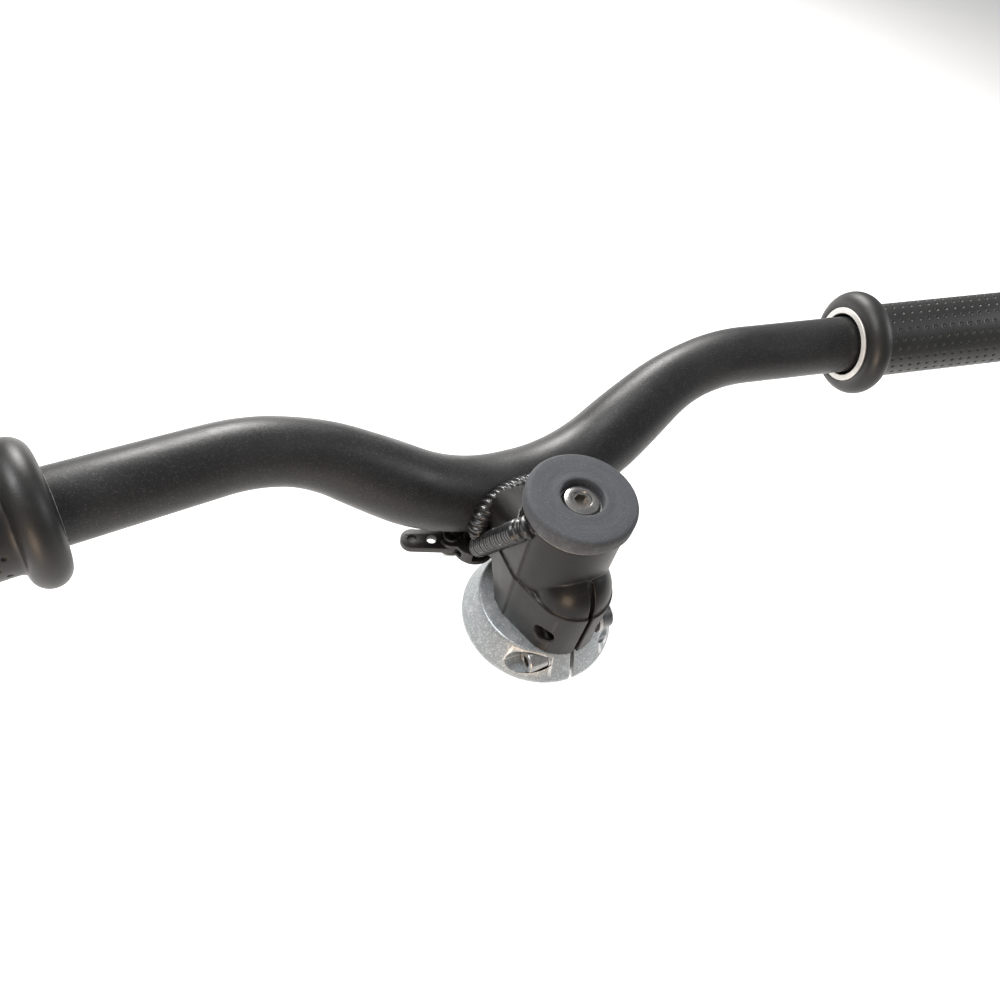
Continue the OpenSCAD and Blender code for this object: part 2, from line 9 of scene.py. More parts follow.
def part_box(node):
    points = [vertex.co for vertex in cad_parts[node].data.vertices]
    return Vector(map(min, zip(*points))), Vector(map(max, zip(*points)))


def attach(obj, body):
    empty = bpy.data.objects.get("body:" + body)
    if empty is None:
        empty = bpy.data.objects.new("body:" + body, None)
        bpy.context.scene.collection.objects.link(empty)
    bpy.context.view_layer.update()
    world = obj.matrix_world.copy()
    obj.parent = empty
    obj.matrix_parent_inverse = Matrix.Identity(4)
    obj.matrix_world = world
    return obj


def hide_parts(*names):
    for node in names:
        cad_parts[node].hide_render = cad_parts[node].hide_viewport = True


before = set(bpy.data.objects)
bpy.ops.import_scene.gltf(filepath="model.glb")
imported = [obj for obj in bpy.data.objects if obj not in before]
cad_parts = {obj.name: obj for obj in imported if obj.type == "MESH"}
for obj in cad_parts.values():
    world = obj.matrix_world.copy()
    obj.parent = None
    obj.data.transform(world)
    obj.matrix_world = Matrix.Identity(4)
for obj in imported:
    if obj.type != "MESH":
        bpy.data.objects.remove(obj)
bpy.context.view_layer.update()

bl_info = {
    "name": "Welded Handlebar Stem",
    "version": (1, 0, 0),
    "blender": (4, 5, 0),
    "location": "View3D > Sidebar > Stem",
    "description": "Builds a welded riser bar and stem with its clamp, collar, cap, grips and bracket",
    "category": "Object",
}

MM = 0.001
X, Y, Z = Vector((1, 0, 0)), Vector((0, 1, 0)), Vector((0, 0, 1))
PAD_LOW, PAD_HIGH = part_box("cap_pad")
COLLAR_LOW, COLLAR_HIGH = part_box("lock_collar")
CLAMP_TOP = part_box("steerer_clamp")[1].z
JOINT_DROP = 1.6 * MM       # from the neck's top down to the clamp joint's top edge
JOINT_REACH = 7 * MM        # from the bore's wall forward to the joint's foot
JOINT_FALL = 10.6 * MM      # from the bar's middle down to the joint's foot
GROUPS, FINISHES = {}, {}   # shader groups and materials already made, by name


def size(label, about, value, low=0.0, high=1.0):
    """A length that a user may change, in metres."""
    return FloatProperty(name=label, description=about, default=value, min=low, max=high,
                         unit="LENGTH", subtype="DISTANCE", precision=5)


def colour(label, about, value):
    """A colour that a user may change."""
    return FloatVectorProperty(name=label, description=about, default=value, size=3,
                               min=0.0, max=1.0, subtype="COLOR")


class StemSizes(bpy.types.PropertyGroup):
    """Sizes of the bar, the welds, the clamp set and the grips"""
    bar_d: size("Bar diameter", "Diameter of the bar at the stem", 24 * MM)
    bar_end_d: size("Bar end diameter", "Diameter of the bar at the grips", 19 * MM)
    bar_wall: size("Bar wall", "Wall of the bar's tube", 2.2 * MM)
    bar_y: size("Bar reach", "Distance of the bar's middle ahead of the steerer", 32 * MM)
    bar_z: size("Bar height", "Height of the bar's middle above the clamp's foot", 17 * MM)
    bar_width: size("Bar width", "Overall width of the bar", 434 * MM)
    mid_half: size("Half middle", "Half length of the bar's middle, corner to corner", 21 * MM)
    bar_out: size("Rise, sideways", "Sideways run of the rise", 47 * MM)
    bar_fwd: size("Rise, forward", "Forward run of the rise", 12.5 * MM)
    bar_rise: size("Rise", "Height that the rise gains", 28.7 * MM)
    bend_run: size("Bend run", "Straight tube that each bend uses on either side", 19 * MM)
    taper_start: size("Taper start", "Distance from the middle where the taper starts", 34 * MM)
    taper_stop: size("Taper stop", "Distance from the middle where the taper stops", 70 * MM)
    steerer_d: size("Steerer diameter", "Diameter of the bore that grips the steerer", 25.4 * MM)
    clamp_h: size("Clamp height", "Height of the clamp's neck", CLAMP_TOP)
    ext_w: size("Extension width", "Width of the extension", 31.4 * MM)
    clamp_bead_r: size("Clamp bead radius", "Radius of the beads around the clamp joint", 3.45 * MM)
    bar_bead_r: size("Bar bead radius", "Radius of the bead around the bar joint", 3.9 * MM)
    clamp_ripple: size("Clamp ripple", "Pitch of the ripples on the clamp joint", 1.9 * MM)
    bar_ripple: size("Bar ripple", "Pitch of the ripples on the bar joint", 1.75 * MM)
    pad_d: size("Pad diameter", "Diameter of the rubber pad", PAD_HIGH.x - PAD_LOW.x)
    pad_h: size("Pad thickness", "Thickness of the rubber pad", PAD_HIGH.z - PAD_LOW.z)
    pad_well_d: size("Pad well", "Diameter of the well in the pad", 12.2 * MM)
    collar_d: size("Collar diameter", "Diameter of the collar at its foot", COLLAR_HIGH.x - COLLAR_LOW.x)
    collar_h: size("Collar height", "Height of the collar", -COLLAR_LOW.z)
    slit_w: size("Slit", "Width of the slits in the clamp and the collar", 1.4 * MM)
    grip_len: size("Grip length", "Length of each grip", 100.5 * MM)
    grip_d: size("Grip diameter", "Diameter of the grip's sleeve", 25 * MM)
    flange_d: size("Flange diameter", "Diameter of the grip's flanges", 35.5 * MM)
    flange_h: size("Flange thickness", "Thickness of the grip's flanges", 9 * MM)
    dimple_depth: size("Dimple depth", "Depth of the grip's dimples", 0.7 * MM)
    dimple_ring: IntProperty(name="Cells round the grip", default=48, min=16, max=64,
                             description="Faces round the sleeve, four to each staggered pair of dimples")


class StemColours(bpy.types.PropertyGroup):
    """Colours of the finishes"""
    bar: colour("Bar", "Satin powder coat of the bar", (0.014, 0.0142, 0.0150))
    forging: colour("Clamp", "Semi-gloss coat of the clamp", (0.0055, 0.0047, 0.0042))
    bead: colour("Welds", "Coat over the weld beads", (0.014, 0.014, 0.015))
    pad: colour("Pad", "Rubber of the pad", (0.044, 0.047, 0.054))
    grip: colour("Grips", "Rubber of the grips", (0.007, 0.007, 0.007))
    collar: colour("Collar", "Blasted aluminium of the collar", (0.27, 0.29, 0.30))
    steel: colour("Steel", "Bare steel of the bolts", (0.30, 0.295, 0.29))
    ring: colour("Rings", "Light rings of the grips", (0.62, 0.61, 0.59))
    plastic: colour("Bracket", "Moulded plastic of the bracket", (0.018, 0.0175, 0.017))


# ---- shared modelling steps ----
def clear_selection():
    """Leaves nothing selected, so that the next operator acts only on its own piece."""
    if bpy.context.mode != "OBJECT":
        bpy.ops.object.mode_set(mode="OBJECT")
    bpy.ops.object.select_all(action="DESELECT")


def pick(piece):
    """Makes a piece the only selected and active one."""
    clear_selection()
    piece.select_set(True)
    bpy.context.view_layer.objects.active = piece


def edit(piece, mode="VERT"):
    """Opens a piece in edit mode with nothing selected."""
    pick(piece)
    bpy.ops.object.mode_set(mode="EDIT")
    bpy.ops.mesh.select_mode(type=mode)
    bpy.ops.mesh.select_all(action="DESELECT")


def choose(piece, kind, wanted):
    """Selects the verts, edges or faces in edit mode for which wanted(item) is true."""
    mesh = bmesh.from_edit_mesh(piece.data)
    for item in getattr(mesh, kind):
        if wanted(item):
            item.select_set(True)
    mesh.select_flush_mode()
    bmesh.update_edit_mesh(piece.data)


def settle(piece):
    """Applies a piece's place to its mesh and turns its faces outwards."""
    pick(piece)
    bpy.ops.object.transform_apply(location=True, rotation=True, scale=True)
    edit(piece)
    bpy.ops.mesh.select_all(action="SELECT")
    bpy.ops.mesh.remove_doubles(threshold=1e-6)
    bpy.ops.mesh.normals_make_consistent(inside=False)
    bpy.ops.object.mode_set(mode="OBJECT")


def modify(piece, kind, **values):
    """Adds one modifier with its values and applies it."""
    pick(piece)
    step = piece.modifiers.new(kind.title(), kind)
    for key, value in values.items():
        setattr(step, key, value)
    bpy.ops.object.modifier_apply(modifier=step.name)


def smooth(piece, degrees=35):
    """Shades a piece smooth, apart from edges sharper than the angle."""
    pick(piece)
    bpy.ops.object.shade_smooth_by_angle(angle=math.radians(degrees))


def stance(at, along, hint=Z):
    """Where a piece modelled along +Z from the origin stands, with its side towards the hint."""
    along = along.normalized()
    side = (hint - along * hint.dot(along)).normalized()
    return Matrix.Translation(at) @ Matrix((side, along.cross(side), along)).transposed().to_4x4()


def place(piece, at, along, hint=Z):
    """Moves a piece modelled along +Z from the origin to a point and direction."""
    piece.matrix_world = stance(at, along, hint)
    settle(piece)


def place_left(piece, at, along):
    """Moves a piece to the mirror image, on the left side, of a point and direction."""
    piece.data.transform(Matrix.Scale(-1, 4, X) @ stance(at, along))
    settle(piece)


def turned(name, profile, sides=64, ring=False):
    """Turns a profile of (radius, height) pairs about Z. A ring closes on its first pair."""
    clear_selection()
    radius, height = profile[0]
    bpy.ops.mesh.primitive_circle_add(vertices=sides, radius=radius, location=(0, 0, height),
                                      fill_type="NOTHING" if ring else "NGON")
    piece = bpy.context.object
    piece.name = piece.data.name = name
    edit(piece)
    bpy.ops.mesh.select_all(action="SELECT")
    for r, h in profile[1:]:
        lift = {"value": (0, 0, h - height)}
        if ring:
            bpy.ops.mesh.extrude_edges_move(TRANSFORM_OT_translate=lift)
        else:
            bpy.ops.mesh.extrude_region_move(TRANSFORM_OT_translate=lift)
        bpy.ops.transform.resize(value=(r / radius, r / radius, 1), center_override=(0, 0, h))
        radius, height = r, h
    if ring:
        bpy.ops.mesh.select_all(action="DESELECT")
        bpy.ops.mesh.select_non_manifold()
        bpy.ops.mesh.bridge_edge_loops()
    settle(piece)
    return piece


def arc(r, h, radius, start, stop, steps=6):
    """Profile pairs along a quarter round, its centre at (r, h) and its angles in degrees."""
    return [(r + radius * math.cos(math.radians(start + (stop - start) * i / steps)),
             h + radius * math.sin(math.radians(start + (stop - start) * i / steps)))
            for i in range(steps + 1)]


def rod(name, radius, low, high, sides=48):
    """A plain round cutter along Z."""
    clear_selection()
    bpy.ops.mesh.primitive_cylinder_add(vertices=sides, radius=radius, depth=high - low,
                                        location=(0, 0, (low + high) / 2))
    cutter = bpy.context.object
    cutter.name = name
    bpy.ops.object.transform_apply()
    return cutter


def block(name, low, high):
    """A plain box cutter between two corners."""
    low, high = Vector(low), Vector(high)
    clear_selection()
    bpy.ops.mesh.primitive_cube_add(size=1, location=(low + high) / 2, scale=high - low)
    cutter = bpy.context.object
    cutter.name = name
    bpy.ops.object.transform_apply()
    return cutter


def cut(piece, *cutters):
    """Takes each cutter out of a piece, and then throws the cutters away."""
    for cutter in cutters:
        modify(piece, "BOOLEAN", operation="DIFFERENCE", object=cutter, solver="EXACT")
        bpy.data.objects.remove(cutter)


def join(name, pieces):
    """Joins pieces into one."""
    clear_selection()
    for piece in pieces:
        piece.select_set(True)
    bpy.context.view_layer.objects.active = pieces[0]
    bpy.ops.object.join()
    pieces[0].name = pieces[0].data.name = name
    return pieces[0]


def twin(piece, name):
    """A copy of a piece with a mesh of its own."""
    copy = bpy.data.objects.new(name, piece.data.copy())
    copy.data.name = name
    bpy.context.scene.collection.objects.link(copy)
    return copy


def blank(name, node):
    """A merged copy of a CAD node to work on."""
    piece = twin(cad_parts[node], name)
    piece.data.materials.clear()
    edit(piece)
    bpy.ops.mesh.select_all(action="SELECT")
    bpy.ops.mesh.remove_doubles(threshold=2e-6)
    bpy.ops.mesh.normals_make_consistent(inside=False)
    bpy.ops.object.mode_set(mode="OBJECT")
    return piece


def cast(piece, grain, passes, strength=0.5):
    """Rounds every edge a little, as casting or welding does, on an even skin of small faces."""
    modify(piece, "REMESH", mode="VOXEL", voxel_size=grain)
    modify(piece, "SMOOTH", factor=strength, iterations=passes)
    pick(piece)
    bpy.ops.object.shade_smooth()


def trimmed(name, node, edge, segments=3):
    """A copy of a CAD node whose sharp edges are broken by a small round."""
    piece = blank(name, node)
    edit(piece, "FACE")
    bpy.ops.mesh.select_all(action="SELECT")
    bpy.ops.mesh.dissolve_limited(angle_limit=math.radians(1))
    bpy.ops.object.mode_set(mode="OBJECT")
    modify(piece, "BEVEL", width=edge, segments=segments, limit_method="ANGLE",
           angle_limit=math.radians(40))
    smooth(piece)
    return piece


def screw(name, thread_r, length, head, socket_af, socket_depth, pitch, sides=48):
    """A cap screw along +Z, its head's underside at the origin, with a ridged shank below."""
    groove = 0.45 * pitch
    tip = [(thread_r - groove * 1.6, -length), (thread_r - groove, -length + groove)]
    turns = int((length - 2 * pitch) / pitch)
    thread = []
    for i in range(turns):
        h = -length + groove + pitch * (i + 0.5)
        thread += [(thread_r, h), (thread_r - groove, h + pitch / 2)]
    neck = [(thread_r - groove * 0.3, thread[-1][1] + pitch * 0.4), (thread_r - groove * 0.3, 0)]
    piece = turned(name, tip + thread + neck + head, sides)
    top = max(h for r, h in head)
    cutter = rod("socket", socket_af / math.sqrt(3), top - socket_depth, top + socket_depth, 6)
    cut(piece, cutter)
    smooth(piece, 30)
    return piece


def hand_over(piece, body, slot, coat, *nodes):
    """Gives a piece its finish and its body, and hides the CAD nodes that it stands for."""
    piece.data.materials.clear()
    piece.data.materials.append(coat)
    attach(piece, body)
    if nodes:
        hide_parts(*nodes)


# ---- shader groups ----
def shader_group(name, inputs, outputs):
    """An empty shader group with named sockets, and its two end nodes."""
    tree = bpy.data.node_groups.new(name, "ShaderNodeTree")
    for label, value in inputs.items():
        socket = tree.interface.new_socket(label, in_out="INPUT", socket_type="NodeSocketFloat")
        socket.default_value = value
    for label in outputs:
        tree.interface.new_socket(label, in_out="OUTPUT", socket_type="NodeSocketFloat")
    return tree, tree.nodes.new("NodeGroupInput"), tree.nodes.new("NodeGroupOutput")


def add(tree, kind, links=(), **values):
    """Adds a node, sets its properties and links (input, socket) pairs into it."""
    node = tree.nodes.new(kind)
    for key, value in values.items():
        if key[0].isupper():
            node.inputs[key.replace("_", " ")].default_value = value
        else:
            setattr(node, key, value)
    for target, source in links:
        tree.links.new(source, node.inputs[target])
    return node


def math_node(tree, operation, a, b, clamp=False):
    """A Math node between two sockets or numbers."""
    node = tree.nodes.new("ShaderNodeMath")
    node.operation = operation
    node.use_clamp = clamp
    for slot, value in enumerate((a, b)):
        if isinstance(value, (int, float)):
            node.inputs[slot].default_value = value
        else:
            tree.links.new(value, node.inputs[slot])
    return node.outputs[0]


def graded(tree, value, low, high, to_low=0.0, to_high=1.0):
    """Spreads a value between two limits."""
    return add(tree, "ShaderNodeMapRange", [("Value", value)], From_Min=low, From_Max=high,
               To_Min=to_low, To_Max=to_high).outputs[0]


def grain_group():
    """Fine bumps on two scales."""
    tree, inward, out = shader_group("Fine grain", {"Size": 0.0005, "Coarse share": 0.3}, ["Height"])
    place_at = add(tree, "ShaderNodeTexCoord").outputs["Object"]
    scale = math_node(tree, "DIVIDE", 1.0, inward.outputs["Size"])
    fine = add(tree, "ShaderNodeTexNoise", [("Vector", place_at), ("Scale", scale)],
               Detail=2.0, Roughness=0.6)
    wide = add(tree, "ShaderNodeTexNoise",
               [("Vector", place_at), ("Scale", math_node(tree, "MULTIPLY", scale, 0.22))], Detail=3.0)
    share = math_node(tree, "MULTIPLY", wide.outputs["Fac"], inward.outputs["Coarse share"])
    total = math_node(tree, "ADD", fine.outputs["Fac"], share)
    tree.links.new(total, out.inputs["Height"])
    return tree


def smudge_group():
    """Slow patches of handling and weather."""
    tree, inward, out = shader_group("Handling patches", {"Size": 0.02}, ["Patch"])
    place_at = add(tree, "ShaderNodeTexCoord").outputs["Object"]
    scale = math_node(tree, "DIVIDE", 1.0, inward.outputs["Size"])
    noise = add(tree, "ShaderNodeTexNoise", [("Vector", place_at), ("Scale", scale)],
                Detail=5.0, Roughness=0.62, Distortion=0.4)
    tree.links.new(graded(tree, noise.outputs["Fac"], 0.32, 0.68), out.inputs["Patch"])
    return tree


def sparkle_group():
    """Metal flakes: small cells, of which a few are bright."""
    tree, inward, out = shader_group("Flake sparkle", {"Size": 0.0004, "Share": 0.08}, ["Flake", "Tilt"])
    place_at = add(tree, "ShaderNodeTexCoord").outputs["Object"]
    scale = math_node(tree, "DIVIDE", 1.0, inward.outputs["Size"])
    cells = add(tree, "ShaderNodeTexVoronoi", [("Vector", place_at), ("Scale", scale)])
    parts = add(tree, "ShaderNodeSeparateColor", [("Color", cells.outputs["Color"])])
    flake = math_node(tree, "LESS_THAN", parts.outputs[0], inward.outputs["Share"])
    tree.links.new(flake, out.inputs["Flake"])
    tree.links.new(parts.outputs[1], out.inputs["Tilt"])
    return tree


def wear_group():
    """Rubbed edges, broken up by noise, and dirt in hollows."""
    tree, inward, out = shader_group("Edge rub and dirt", {"Edge": 0.06, "Dirt": 0.06, "Size": 0.003},
                                     ["Rub", "Dirt"])
    place_at = add(tree, "ShaderNodeTexCoord").outputs["Object"]
    scale = math_node(tree, "DIVIDE", 1.0, inward.outputs["Size"])
    noise = add(tree, "ShaderNodeTexNoise", [("Vector", place_at), ("Scale", scale)],
                Detail=4.0, Roughness=0.7).outputs["Fac"]
    point = add(tree, "ShaderNodeNewGeometry").outputs["Pointiness"]
    broken = math_node(tree, "MULTIPLY", math_node(tree, "SUBTRACT", noise, 0.5), 0.12)
    edge = math_node(tree, "ADD", math_node(tree, "SUBTRACT", point, 0.5), broken)
    rub = math_node(tree, "DIVIDE", math_node(tree, "SUBTRACT", edge, 0.025), inward.outputs["Edge"],
                    True)
    hollow = math_node(tree, "ADD", math_node(tree, "SUBTRACT", 0.5, point), broken)
    dirt = math_node(tree, "DIVIDE", math_node(tree, "SUBTRACT", hollow, 0.015), inward.outputs["Dirt"],
                     True)
    tree.links.new(rub, out.inputs["Rub"])
    tree.links.new(dirt, out.inputs["Dirt"])
    return tree


def scratch_group():
    """Fine marks that run round the steerer's axis, as left by turning and polishing."""
    tree, inward, out = shader_group("Turning marks", {"Pitch": 0.0004}, ["Mark"])
    place_at = add(tree, "ShaderNodeTexCoord").outputs["Object"]
    parts = add(tree, "ShaderNodeSeparateXYZ", [("Vector", place_at)])
    square = [math_node(tree, "MULTIPLY", parts.outputs[i], parts.outputs[i]) for i in (0, 1)]
    radius = math_node(tree, "SQRT", math_node(tree, "ADD", *square), 0.0)
    scaled = math_node(tree, "DIVIDE", radius, inward.outputs["Pitch"])
    high = math_node(tree, "DIVIDE", parts.outputs[2], inward.outputs["Pitch"])
    turn = math_node(tree, "MULTIPLY", math_node(tree, "ARCTAN2", parts.outputs[1], parts.outputs[0]), 1.2)
    vector = add(tree, "ShaderNodeCombineXYZ", [("X", scaled), ("Y", high), ("Z", turn)])
    noise = add(tree, "ShaderNodeTexNoise", [("Vector", vector.outputs[0])], Scale=1.0, Detail=2.0)
    tree.links.new(noise.outputs["Fac"], out.inputs["Mark"])
    return tree


def shared(name, maker):
    """A shader group, built the first time that it is asked for."""
    if name not in GROUPS:
        GROUPS[name] = maker()
    return GROUPS[name]


def use(tree, name, maker, **values):
    """Places a shared group in a material with its own values."""
    node = tree.nodes.new("ShaderNodeGroup")
    node.node_tree = shared(name, maker)
    for key, value in values.items():
        node.inputs[key.replace("_", " ")].default_value = value
    return node.outputs


def mixed(tree, factor, a, b):
    """Mixes two colours, each a socket or a tuple."""
    node = tree.nodes.new("ShaderNodeMix")
    node.data_type = "RGBA"
    for slot, value in (("Factor", factor), ("A", a), ("B", b)):
        socket = [s for s in node.inputs if s.name == slot and
                  s.type == ("VALUE" if slot == "Factor" else "RGBA")][0]
        if isinstance(value, (int, float)):
            socket.default_value = value
        elif isinstance(value, (tuple, list)):
            socket.default_value = (*value[:3], 1.0)
        else:
            tree.links.new(value, socket)
    return [s for s in node.outputs if s.type == "RGBA"][0]


def finish(name, base, rough, metal=0.0, coat=0.0, coat_rough=0.2, grain=0.0004, depth=0.00003,
           patch=0.02, vary=0.25, spread=0.08, bare=(0.4, 0.4, 0.4), rub=0.6, edge=0.08,
           dust=(0.20, 0.17, 0.14), dirt=0.3, flakes=0.0, flake_size=0.0004,
           flake_colour=(0.6, 0.6, 0.6), marks=0.0, mark_pitch=0.0004, specular=0.5, sheen=0.0):
    """A finish with grain, patches, rubbed edges, dirt in hollows, and flakes or turning marks."""
    if name in FINISHES:
        return FINISHES[name]
    material = bpy.data.materials.new(name)
    material.use_nodes = True
    material.diffuse_color = (*base[:3], 1.0)
    tree = material.node_tree
    tree.nodes.clear()
    out = tree.nodes.new("ShaderNodeOutputMaterial")
    shader = add(tree, "ShaderNodeBsdfPrincipled", Coat_Weight=coat, Coat_Roughness=coat_rough,
                 Specular_IOR_Level=specular, Sheen_Weight=sheen)
    tree.links.new(shader.outputs[0], out.inputs["Surface"])
    bump_height = use(tree, "Fine grain", grain_group, Size=grain)["Height"]
    cloud = use(tree, "Handling patches", smudge_group, Size=patch)["Patch"]
    worn = use(tree, "Edge rub and dirt", wear_group, Edge=edge)
    darker = tuple(c * (1 - vary) for c in base[:3])
    lighter = tuple(min(1.0, c * (1 + vary)) for c in base[:3])
    tint = mixed(tree, cloud, darker, lighter)
    roughness = graded(tree, cloud, 0, 1, rough - spread, rough + spread)
    if marks:
        mark = use(tree, "Turning marks", scratch_group, Pitch=mark_pitch)["Mark"]
        tint = mixed(tree, graded(tree, mark, 0.35, 0.65, 0.0, marks), tint, tuple(c * 0.6 for c in base[:3]))
        roughness = math_node(tree, "ADD", roughness, graded(tree, mark, 0.3, 0.7, -0.1 * marks, 0.1 * marks))
        bump_height = math_node(tree, "ADD", bump_height, math_node(tree, "MULTIPLY", mark, 1.5 * marks))
    if flakes:
        flake = use(tree, "Flake sparkle", sparkle_group, Size=flake_size, Share=flakes)
        tint = mixed(tree, math_node(tree, "MULTIPLY", flake["Flake"], flake["Tilt"]), tint, flake_colour)
        bump_height = math_node(tree, "ADD", bump_height, math_node(tree, "MULTIPLY", flake["Tilt"], 0.4))
    tint = mixed(tree, math_node(tree, "MULTIPLY", worn["Dirt"], dirt), tint, dust)
    rubbed = math_node(tree, "MULTIPLY", worn["Rub"], rub)
    tint = mixed(tree, rubbed, tint, bare)
    tree.links.new(tint, shader.inputs["Base Color"])
    tree.links.new(roughness, shader.inputs["Roughness"])
    shader.inputs["Metallic"].default_value = metal
    bump = add(tree, "ShaderNodeBump", [("Height", bump_height)], Strength=1.0, Distance=depth)
    tree.links.new(bump.outputs[0], shader.inputs["Normal"])
    FINISHES[name] = material
    return material


def bar_coat():
    c = bpy.context.scene.stem_colours
    return finish("satin_bar_coat", c.bar, 0.42, metal=0.25, grain=0.0007, depth=0.00004, flakes=0.12,
                  flake_size=0.00022, flake_colour=(0.05, 0.05, 0.052), vary=0.18, rub=0.1)


def forging_coat():
    c = bpy.context.scene.stem_colours
    return finish("clamp_coat", c.forging, 0.40, metal=0.0, coat=0.12, grain=0.0009, depth=0.00003,
                  bare=(0.05, 0.045, 0.04), rub=0.3, vary=0.3, specular=0.22)


def bead_coat():
    c = bpy.context.scene.stem_colours
    return finish("weld_coat", c.bead, 0.3, metal=0.45, coat=0.35, grain=0.0006, depth=0.00003,
                  bare=(0.35, 0.35, 0.36), rub=0.5, dirt=0.5, dust=(0.05, 0.045, 0.04))


def pad_rubber():
    c = bpy.context.scene.stem_colours
    return finish("pad_rubber", c.pad, 0.72, grain=0.00035, depth=0.00007, marks=0.30,
                  mark_pitch=0.0011, bare=(0.16, 0.165, 0.175), rub=0.6, vary=0.14, flakes=0.08,
                  flake_size=0.0002, flake_colour=(0.09, 0.09, 0.095))


def grip_rubber():
    c = bpy.context.scene.stem_colours
    return finish("grip_rubber", c.grip, 0.45, grain=0.0005, depth=0.00003, patch=0.015,
                  bare=(0.05, 0.05, 0.05), rub=0.5, dust=(0.09, 0.08, 0.07), dirt=0.35)


def collar_metal():
    c = bpy.context.scene.stem_colours
    return finish("blasted_collar", c.collar, 0.42, metal=0.9, grain=0.0005, depth=0.00006,
                  flakes=0.16, flake_size=0.00024, flake_colour=(0.60, 0.64, 0.66), vary=0.12,
                  bare=(0.75, 0.75, 0.75), rub=0.7, dirt=0.4)


def bolt_steel():
    c = bpy.context.scene.stem_colours
    return finish("bolt_steel", c.steel, 0.30, metal=1.0, grain=0.0004, depth=0.00002, marks=0.35,
                  mark_pitch=0.0003, vary=0.12, bare=(0.75, 0.74, 0.72), dirt=0.7)


def zinc_plate():
    return finish("zinc_plate", (0.48, 0.48, 0.47), 0.38, metal=1.0, grain=0.0006, depth=0.00002,
                  marks=0.25, vary=0.2, bare=(0.7, 0.7, 0.7), dirt=0.6)


def dark_steel():
    return finish("black_oxide", (0.05, 0.05, 0.055), 0.4, metal=0.9, grain=0.0005, depth=0.00002,
                  vary=0.25, bare=(0.3, 0.3, 0.3), dirt=0.4)


def plate_steel():
    return finish("pressed_plate", (0.05, 0.047, 0.045), 0.45, metal=0.7, grain=0.0006,
                  depth=0.00003, vary=0.25, bare=(0.3, 0.28, 0.26), dirt=0.5)


def seal_rubber():
    return finish("seal_rubber", (0.02, 0.02, 0.02), 0.6, grain=0.0005, depth=0.00003,
                  bare=(0.05, 0.05, 0.05), rub=0.3)


def ring_gloss():
    c = bpy.context.scene.stem_colours
    return finish("ring_gloss", c.ring, 0.4, metal=0.2, coat=0.1, grain=0.0006, depth=0.00002,
                  vary=0.08, bare=(0.75, 0.75, 0.73), dust=(0.25, 0.23, 0.2), dirt=0.5)


def bracket_plastic():
    c = bpy.context.scene.stem_colours
    return finish("bracket_plastic", c.plastic, 0.5, grain=0.0004, depth=0.00004, vary=0.2,
                  bare=(0.12, 0.12, 0.12), rub=0.5, dust=(0.15, 0.13, 0.11), dirt=0.4)


# ---- the bar's line, shared by the bar, the welds and the grips ----
def bar_line():
    """Corners, directions and bends of the right half of the bar."""
    s = bpy.context.scene.stem_sizes
    corner_a = Vector((s.mid_half, s.bar_y, s.bar_z))
    rise = Vector((s.bar_out, s.bar_fwd, s.bar_rise))
    corner_b = corner_a + rise
    rise_dir = rise.normalized()
    end_dir = Vector((1, -0.21, 0.11)).normalized()
    tip = corner_b + end_dir * ((s.bar_width / 2 - corner_b.x) / end_dir.x)
    return corner_a, corner_b, rise_dir, end_dir, tip


def bend_at(corner, before, after):
    """Centre, radius, axis and angle of the bend at a corner."""
    s = bpy.context.scene.stem_sizes
    angle = before.angle(after)
    radius = s.bend_run / math.tan(angle / 2)
    inward = (after - before * before.dot(after)).normalized()
    start = corner - before * s.bend_run
    return start + inward * radius, radius, before.cross(after).normalized(), angle


def ring_near(piece, centre, direction, reach):
    """Selects the ring of the tube that is centred on a point."""
    bpy.ops.mesh.select_all(action="DESELECT")
    choose(piece, "verts", lambda v: abs((v.co - centre).dot(direction)) < 1e-5
           and (v.co - centre).length < reach)


